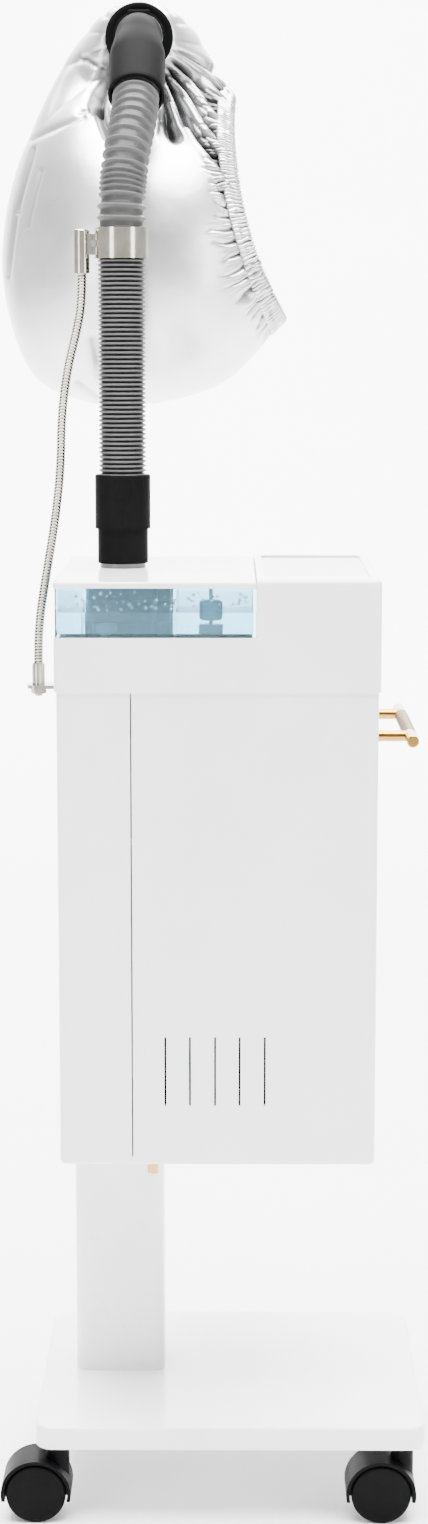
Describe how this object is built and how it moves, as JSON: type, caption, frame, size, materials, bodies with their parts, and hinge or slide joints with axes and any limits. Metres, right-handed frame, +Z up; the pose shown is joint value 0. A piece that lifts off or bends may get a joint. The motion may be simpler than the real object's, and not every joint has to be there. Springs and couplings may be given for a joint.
{
  "type": "hair steamer",
  "caption": "Salon steamer trolley: white water cabinet with blue side tank on a caster base, ribbed hose, gooseneck and a silver foil head hood.",
  "frame": {"origin": "on the floor under the centre of the base plate", "axes": "+Z up, +X to the user's side with the handle and the hood's face opening, +Y across, the hood leans out towards +Y"},
  "size_m": [0.3656, 0.4449, 1.265],
  "materials": {
    "white_plastic": "gloss",
    "white_paint": "satin",
    "steel": "satin",
    "nickel": "polished",
    "dark_plastic": "matte",
    "board": "matte",
    "grey_panel": "satin",
    "brass": "polished",
    "black_plastic": "matte",
    "silicone": "satin",
    "float_white": "satin",
    "gold": "polished",
    "gold_knurl": "satin",
    "foil": "metallic coated",
    "foil_band": "metallic coated",
    "chamber_grey": "satin",
    "collar_grey": "satin",
    "hose_grey": "satin",
    "tank_blue": "clear tint",
    "caster_black": "satin"
  },
  "bodies": {
    "frame": {"base_plate": "white_plastic", "bracket_screws": "steel", "cabinet_floor": "white_plastic", "cap_housing": "white_plastic", "caster_stems": "steel", "clamp_ring": "nickel", "clamp_screw": "steel", "column": "white_paint", "column_inserts": "dark_plastic", "column_screws": "steel", "control_board": "board", "control_panel": "grey_panel", "cooling_fan": "dark_plastic", "drain_plug": "brass", "elbow": "black_plastic", "feed_tube": "silicone", "flange_ring": "black_plastic", "front_shell": "white_plastic", "generator_shelf": "steel", "gooseneck_arm": "nickel", "gooseneck_bracket": "nickel", "gooseneck_ferrule": "nickel", "gooseneck_nut": "nickel", "gooseneck_socket": "nickel", "handle_bar": "gold", "handle_grip": "gold_knurl", "handle_posts": "gold", "handle_screws": "steel", "heater_plate": "steel", "hose_cuff": "black_plastic", "mist_chamber": "chamber_grey", "outlet_collar": "collar_grey", "power_inlet": "black_plastic", "power_supply": "steel", "rear_housing": "white_plastic", "retaining_clip": "black_plastic", "steam_generator": "steel", "steam_hose_lower": "hose_grey", "steam_hose_upper": "hose_grey", "steam_tube": "silicone", "switch_bezel": "black_plastic", "tank_lid": "white_plastic", "top_shelf": "steel"},
    "tank": {"water_tank": "tank_blue", "tank_valve": "float_white", "float_guide": "float_white"},
    "float": {"float": "float_white"},
    "rocker": {"rocker_switch": "black_plastic"},
    "hood": {"hood": "foil", "hood_elastic": "foil_band", "hood_collar": "black_plastic"},
    "caster_front_left": {"caster_front_left_hood": "caster_black"},
    "wheels_front_left": {"caster_front_left_wheels": "caster_black"},
    "caster_front_right": {"caster_front_right_hood": "caster_black"},
    "wheels_front_right": {"caster_front_right_wheels": "caster_black"},
    "caster_rear_left": {"caster_rear_left_hood": "caster_black"},
    "wheels_rear_left": {"caster_rear_left_wheels": "caster_black"},
    "caster_rear_right": {"caster_rear_right_hood": "caster_black"},
    "wheels_rear_right": {"caster_rear_right_wheels": "caster_black"}
  },
  "joints": [
    {"name": "tank_slide", "type": "slide", "parent": "frame", "child": "tank", "axis": [0, -1, 0], "range_m": [0, 0.2]},
    {"name": "float_rise", "type": "slide", "parent": "tank", "child": "float", "axis": [0, 0, 1], "range_m": [-0.003, 0.01]},
    {"name": "power_rocker", "type": "hinge", "parent": "frame", "child": "rocker", "pos_m": [-0.1372, 0.02, 0.392], "axis": [0, 1, 0], "range_deg": [-14, 0]},
    {"name": "hood_swivel", "type": "hinge", "parent": "frame", "child": "hood", "pos_m": [-0.08, 0.155, 1.2345], "axis": [0, 1, 0], "range_deg": [-20, 20]},
    {"name": "swivel_front_left", "type": "hinge", "parent": "frame", "child": "caster_front_left", "pos_m": [0.144, -0.115, 0.055], "axis": [0, 0, 1], "continuous": true},
    {"name": "roll_front_left", "type": "hinge", "parent": "caster_front_left", "child": "wheels_front_left", "pos_m": [0.126, -0.115, 0.025], "axis": [0, 1, 0], "continuous": true},
    {"name": "swivel_front_right", "type": "hinge", "parent": "frame", "child": "caster_front_right", "pos_m": [0.144, 0.115, 0.055], "axis": [0, 0, 1], "continuous": true},
    {"name": "roll_front_right", "type": "hinge", "parent": "caster_front_right", "child": "wheels_front_right", "pos_m": [0.126, 0.115, 0.025], "axis": [0, 1, 0], "continuous": true},
    {"name": "swivel_rear_left", "type": "hinge", "parent": "frame", "child": "caster_rear_left", "pos_m": [-0.144, -0.115, 0.055], "axis": [0, 0, 1], "continuous": true},
    {"name": "roll_rear_left", "type": "hinge", "parent": "caster_rear_left", "child": "wheels_rear_left", "pos_m": [-0.162, -0.115, 0.025], "axis": [0, 1, 0], "continuous": true},
    {"name": "swivel_rear_right", "type": "hinge", "parent": "frame", "child": "caster_rear_right", "pos_m": [-0.144, 0.115, 0.055], "axis": [0, 0, 1], "continuous": true},
    {"name": "roll_rear_right", "type": "hinge", "parent": "caster_rear_right", "child": "wheels_rear_right", "pos_m": [-0.126, 0.115, 0.025], "axis": [0, 1, 0], "continuous": true}
  ]
}
